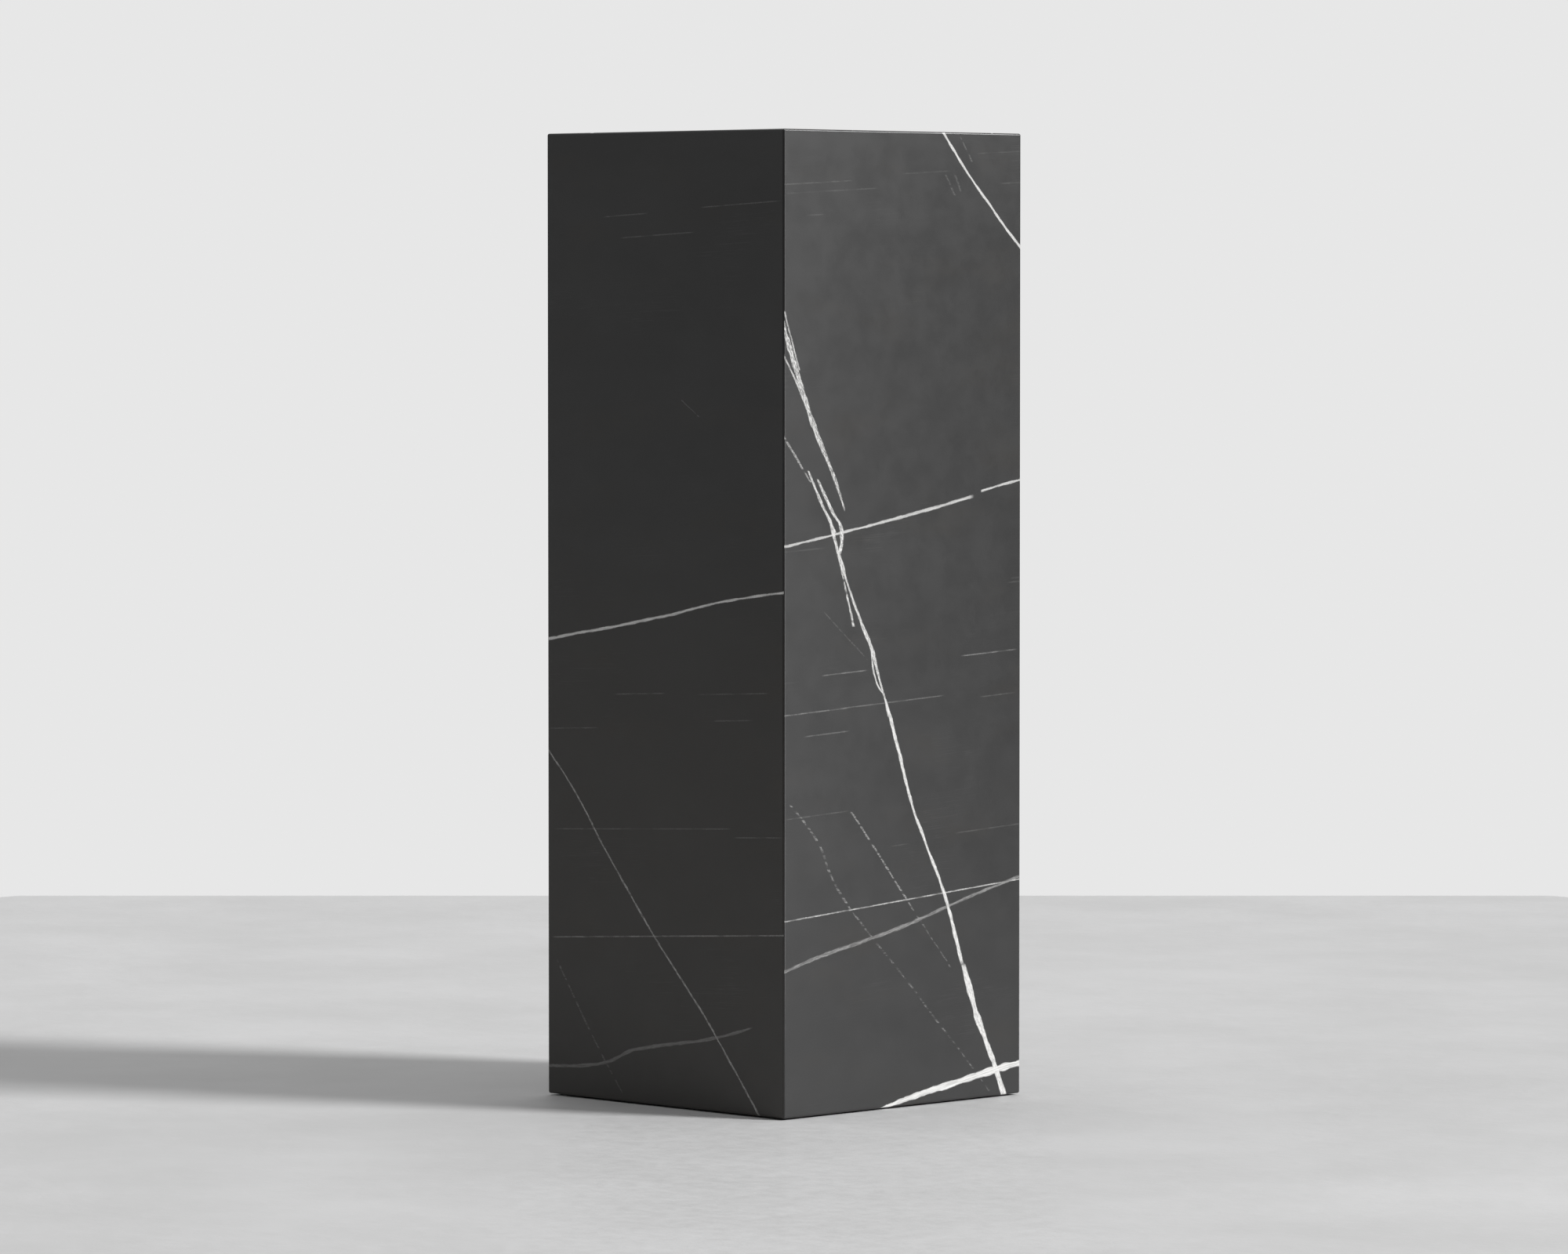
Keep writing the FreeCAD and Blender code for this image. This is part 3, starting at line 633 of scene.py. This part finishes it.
# ---------------------------------------------------------------------------------------------
# The carcass and the feet
# ---------------------------------------------------------------------------------------------

PLY = 1.4
PLY_FACES = (0.62, 0.45, 0.27, 1), (0.74, 0.58, 0.38, 1)
PLY_PORES = (0.4, 0.25, 0.13, 1)
PLY_EDGES = (0.45, 0.29, 0.15, 1), (0.7, 0.52, 0.32, 1)
WOOD_RELIEF = 0.0001
METAL_RELIEF = 0.00002


def plywood(name, thickness_axis, grain_axis):
    """Birch plywood: pale figured faces, and stacked plies where the edges show."""
    material, nodes = new_material(name)
    local = nodes.local()
    others = [local[axis] for axis in range(3) if axis != grain_axis]
    place = (*others, local[grain_axis])
    figure = nodes.noise(nodes.spread(place, 9, 9, 160), 4.0, 0.6, 0.6)
    pores = nodes.noise(nodes.spread(place, 0.9, 0.9, 14), 2.0)
    face = nodes.blend(nodes.ramp(figure, 0.3, 0.7), *PLY_FACES)
    face = nodes.blend(nodes.ramp(pores, 0.62, 0.75, 0.0, 0.4), face, PLY_PORES)
    ply = nodes.math("PINGPONG", nodes.times(local[thickness_axis], 1 / PLY), 1.0)
    edge = nodes.blend(nodes.ramp(ply, 0.35, 0.65), *PLY_EDGES)
    facing = nodes.add("SeparateXYZ")
    nodes.feed(facing.inputs[0], nodes.add("TexCoord").outputs["Normal"])
    flat = nodes.math("ABSOLUTE", facing.outputs[thickness_axis])
    colour = nodes.blend(nodes.ramp(flat, 0.4, 0.8), edge, face)
    normal = nodes.bump(pores, WOOD_RELIEF)
    nodes.surface(colour, nodes.ramp(figure, 0.2, 0.8, 0.5, 0.62), normal)
    return material


def timber(name, dark, light, ring):
    """Straight-grained timber with upright grain; ring sets how far apart its rings are."""
    material, nodes = new_material(name)
    place = nodes.local()
    wobble = nodes.noise(nodes.spread(place, 40, 40, 260), 2.0)
    rings = nodes.times(nodes.plus(place[0], place[1]), 1 / ring)
    bands = nodes.math("PINGPONG", nodes.scaled(wobble, 9.0, rings), 1.0)
    pores = nodes.noise(nodes.spread(place, 1, 1, 18), 2.0, 0.6)
    colour = nodes.blend(nodes.ramp(bands, 0.15, 0.95), light, dark)
    colour = nodes.blend(nodes.ramp(pores, 0.55, 0.75, 0.0, 0.3), colour, dark)
    normal = nodes.bump(pores, WOOD_RELIEF)
    nodes.surface(colour, nodes.ramp(pores, 0.3, 0.7, 0.5, 0.65), normal)
    return material


def metal(name, dark, light, roughness, spread):
    """Plated steel with faint drawn scratches and small changes in the plating."""
    material, nodes = new_material(name)
    place = nodes.local()
    cloud = nodes.noise(nodes.spread(place, 5, 5, 5), 3.0, 0.6)
    scratch = nodes.noise(nodes.spread(place, 2, 2, 0.15), 2.0, 0.6)
    colour = nodes.blend(nodes.ramp(cloud, 0.3, 0.7), dark, light)
    dull = nodes.ramp(cloud, 0.3, 0.7, roughness, roughness + spread)
    rough = nodes.plus(dull, nodes.ramp(scratch, 0.4, 0.7, 0.0, 0.08))
    nodes.surface(colour, rough, nodes.bump(scratch, METAL_RELIEF), Metallic=1.0)
    return material


def moulded(name, dark, light, low, high, depth):
    """A matt moulded or set material with a fine texture and a faint change in tone."""
    material, nodes = new_material(name)
    place = nodes.local()
    texture = nodes.noise(nodes.point(*place), 2.0, 0.6)
    cloud = nodes.noise(nodes.spread(place, 12, 12, 12), 3.0, 0.5)
    colour = nodes.blend(nodes.ramp(cloud, 0.3, 0.7), dark, light)
    rough = nodes.ramp(texture, 0.3, 0.7, low, high)
    nodes.surface(colour, rough, nodes.bump(texture, depth))
    return material


materials = {
    "right_stone_panel": marble("marble_right", 1, 1, 2, RIGHT_VEINS, RIGHT_STREAKS, 3.0),
    # The front face alone is painted lighter and browner towards its foot, standing in for light
    # bounced up from the floor.
    "front_stone_panel": marble("marble_front", 0, 1, 2, FRONT_VEINS, FRONT_STREAKS, 31.0, 0.45),
    "back_stone_panel": marble("marble_back", 0, -1, 2, BACK_VEINS, BACK_STREAKS, 57.0),
    "left_stone_panel": marble("marble_left", 1, -1, 2, LEFT_VEINS, LEFT_STREAKS, 83.0),
    "top_stone_slab": marble("marble_top", 0, 1, 1, TOP_VEINS, TOP_STREAKS, 111.0),
}
ply_by_thickness = {
    axis: plywood("birch_plywood_" + "xyz"[axis], axis, 2 if axis < 2 else 0) for axis in range(3)
}
softwood = timber("softwood", (0.44, 0.25, 0.11, 1), (0.68, 0.48, 0.28, 1), 5.0)
beech = timber("beech", (0.42, 0.24, 0.13, 1), (0.58, 0.38, 0.23, 1), 2.2)
yellow_zinc = metal("yellow_zinc", (0.52, 0.38, 0.16, 1), (0.72, 0.56, 0.27, 1), 0.28, 0.1)
zinc = metal("bright_zinc", (0.50, 0.51, 0.52, 1), (0.66, 0.67, 0.68, 1), 0.26, 0.12)
foot_zinc = metal("foot_zinc", (0.46, 0.47, 0.48, 1), (0.62, 0.63, 0.64, 1), 0.24, 0.14)
resin = moulded(
    "black_resin", (0.018, 0.0175, 0.017, 1), (0.026, 0.0255, 0.025, 1), 0.36, 0.46, 0.00002
)
adhesive = moulded(
    "grey_adhesive", (0.22, 0.22, 0.21, 1), (0.32, 0.32, 0.31, 1), 0.5, 0.7, 0.0002
)
nylon = moulded(
    "black_nylon", (0.012, 0.012, 0.013, 1), (0.02, 0.02, 0.021, 1), 0.42, 0.6, 0.00008
)


def thinnest(node):
    """The axis along which a board is thinnest."""
    low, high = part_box(node)
    size = high - low
    return min(range(3), key=lambda axis: size[axis])


def material_for(node):
    if node in materials:
        return materials[node]
    if node.endswith(("_board", "_rib")):
        return ply_by_thickness[thinnest(node)]
    for words, material in (
        ("resin", resin),
        ("adhesive", adhesive),
        ("batten", softwood),
        ("foot_block_screws", yellow_zinc),
        ("foot_block", beech),
        ("screws", yellow_zinc),
        ("insert", zinc),
        ("stem", foot_zinc),
        ("pad", nylon),
    ):
        if words in node:
            return material
    raise ValueError("no material for " + node)


for node_name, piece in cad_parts.items():
    piece.data.materials.clear()
    piece.data.materials.append(material_for(node_name))

# ---------------------------------------------------------------------------------------------
# Floor, light and camera
# ---------------------------------------------------------------------------------------------


def add_object(name, data):
    """Adds an object with this data to the scene."""
    item = bpy.data.objects.new(name, data)
    bpy.context.scene.collection.objects.link(item)
    return item


def aim(light, back):
    """Turns a light so that it shines away from this direction."""
    light.rotation_mode = "QUATERNION"
    light.rotation_quaternion = back.to_track_quat("Z", "Y")


def make_floor():
    """An eight-sided pale floor, so that its far edge is level from every side and corner."""
    step = 2 * math.pi / FLOOR_SIDES
    reach = FLOOR_REACH / math.cos(step / 2)
    turns = [step / 2 + side * step for side in range(FLOOR_SIDES)]
    rim = [(reach * math.cos(turn), reach * math.sin(turn), 0.0) for turn in turns]
    mesh = bpy.data.meshes.new("floor")
    mesh.from_pydata(rim, [], [list(range(FLOOR_SIDES))])
    floor = add_object("floor", mesh)
    material, nodes = new_material("pale_floor")
    place = nodes.local()[:2]
    wide = nodes.noise(nodes.spread(place, 420, 420), 4.0, 0.6)
    fine = nodes.noise(nodes.spread(place, 25, 25), 4.0, 0.65)
    tone = nodes.plus(nodes.times(wide, 0.7), nodes.times(fine, 0.3))
    colour = nodes.blend(nodes.ramp(tone, 0.3, 0.7), FLOOR_DARK, FLOOR_LIGHT)
    rough = nodes.ramp(fine, 0.3, 0.7, 0.55, 0.7)
    nodes.surface(colour, rough, nodes.bump(fine, 0.0006))
    mesh.materials.append(material)


def make_world():
    """A pale wall for the camera; for everything else, the soft light of the studio.

    That light is strongest from the wall behind the plinth and from above, weaker from the
    side of the key light, and dim from the other side and from in front.
    """
    world = bpy.data.worlds.new("studio")
    bpy.context.scene.world = world
    world.use_nodes = True
    nodes = Nodes(world.node_tree)
    direction = nodes.add("TexCoord").outputs["Generated"]
    diagonal = math.sqrt(0.5)

    def glow(towards, low, high, strength):
        """Light that grows from low to high as the direction turns towards this one."""
        facing = nodes.add("VectorMath", operation="DOT_PRODUCT")
        nodes.feed(facing.inputs[0], direction)
        facing.inputs[1].default_value = towards
        return nodes.ramp(facing.outputs["Value"], low, high, 0.0, strength)

    wall_glow = glow((-diagonal, diagonal, 0.0), -0.7, 0.9, SOFT_WALL)
    side_glow = glow((diagonal, diagonal, 0.0), -0.3, 1.0, SOFT_SIDE)
    away_glow = glow((-diagonal, -diagonal, 0.0), 0.2, 1.0, SOFT_AWAY)
    above_glow = glow((0.0, 0.0, 1.0), 0.1, 0.9, SOFT_ABOVE)
    strength = SOFT_BASE
    for part in (wall_glow, side_glow, away_glow, above_glow):
        strength = nodes.plus(strength, part)
    soft = nodes.add("Background")
    soft.inputs["Color"].default_value = (1.0, 1.0, 1.0, 1.0)
    nodes.feed(soft.inputs["Strength"], strength)
    wall = nodes.add("Background")
    wall.inputs["Color"].default_value = (*WALL_COLOUR, 1.0)
    seen = nodes.add("LightPath").outputs["Is Camera Ray"]
    choice = nodes.add("MixShader")
    nodes.feed(choice.inputs[0], seen)
    nodes.feed(choice.inputs[1], soft.outputs[0])
    nodes.feed(choice.inputs[2], wall.outputs[0])
    output = nodes.add("OutputWorld")
    nodes.feed(output.inputs["Surface"], choice.outputs[0])


def make_key():
    """A broad, even key light from one side, with soft-edged shadows."""
    data = bpy.data.lights.new("key", "SUN")
    data.energy = KEY_STRENGTH
    data.angle = math.radians(KEY_SPREAD)
    turn, rise = math.radians(KEY_AZIMUTH), math.radians(KEY_ELEVATION)
    flat = math.cos(rise)
    towards = Vector((math.cos(turn) * flat, math.sin(turn) * flat, math.sin(rise)))
    aim(add_object("key", data), towards)


def make_sheen(name, place, size, power):
    """A soft panel near the plinth that only shows as a reflection on its polished faces."""
    data = bpy.data.lights.new(name, "AREA")
    data.shape = "RECTANGLE"
    data.size, data.size_y = size
    data.energy = power
    light = add_object(name, data)
    light.location = place
    aim(light, Vector(place) - Vector((0.0, 0.0, min(place[2], cad_box[1].z))))
    light.visible_camera = False
    light.visible_diffuse = False


def make_camera():
    data = bpy.data.cameras.new("camera")
    data.lens = LENS
    data.sensor_width = SENSOR
    data.clip_end = FARTHEST_SEEN
    camera = add_object("camera", data)
    turn = math.radians(CAMERA_AZIMUTH)
    camera.location = (
        CAMERA_DISTANCE * math.sin(turn),
        -CAMERA_DISTANCE * math.cos(turn),
        CAMERA_HEIGHT,
    )
    camera.rotation_euler = (math.radians(90.0 - CAMERA_TILT), 0.0, turn)
    bpy.context.scene.camera = camera


make_floor()
make_world()
make_key()
for panel in SHEEN_PANELS:
    make_sheen(*panel)
make_camera()
bpy.context.scene.view_settings.view_transform = "Standard"
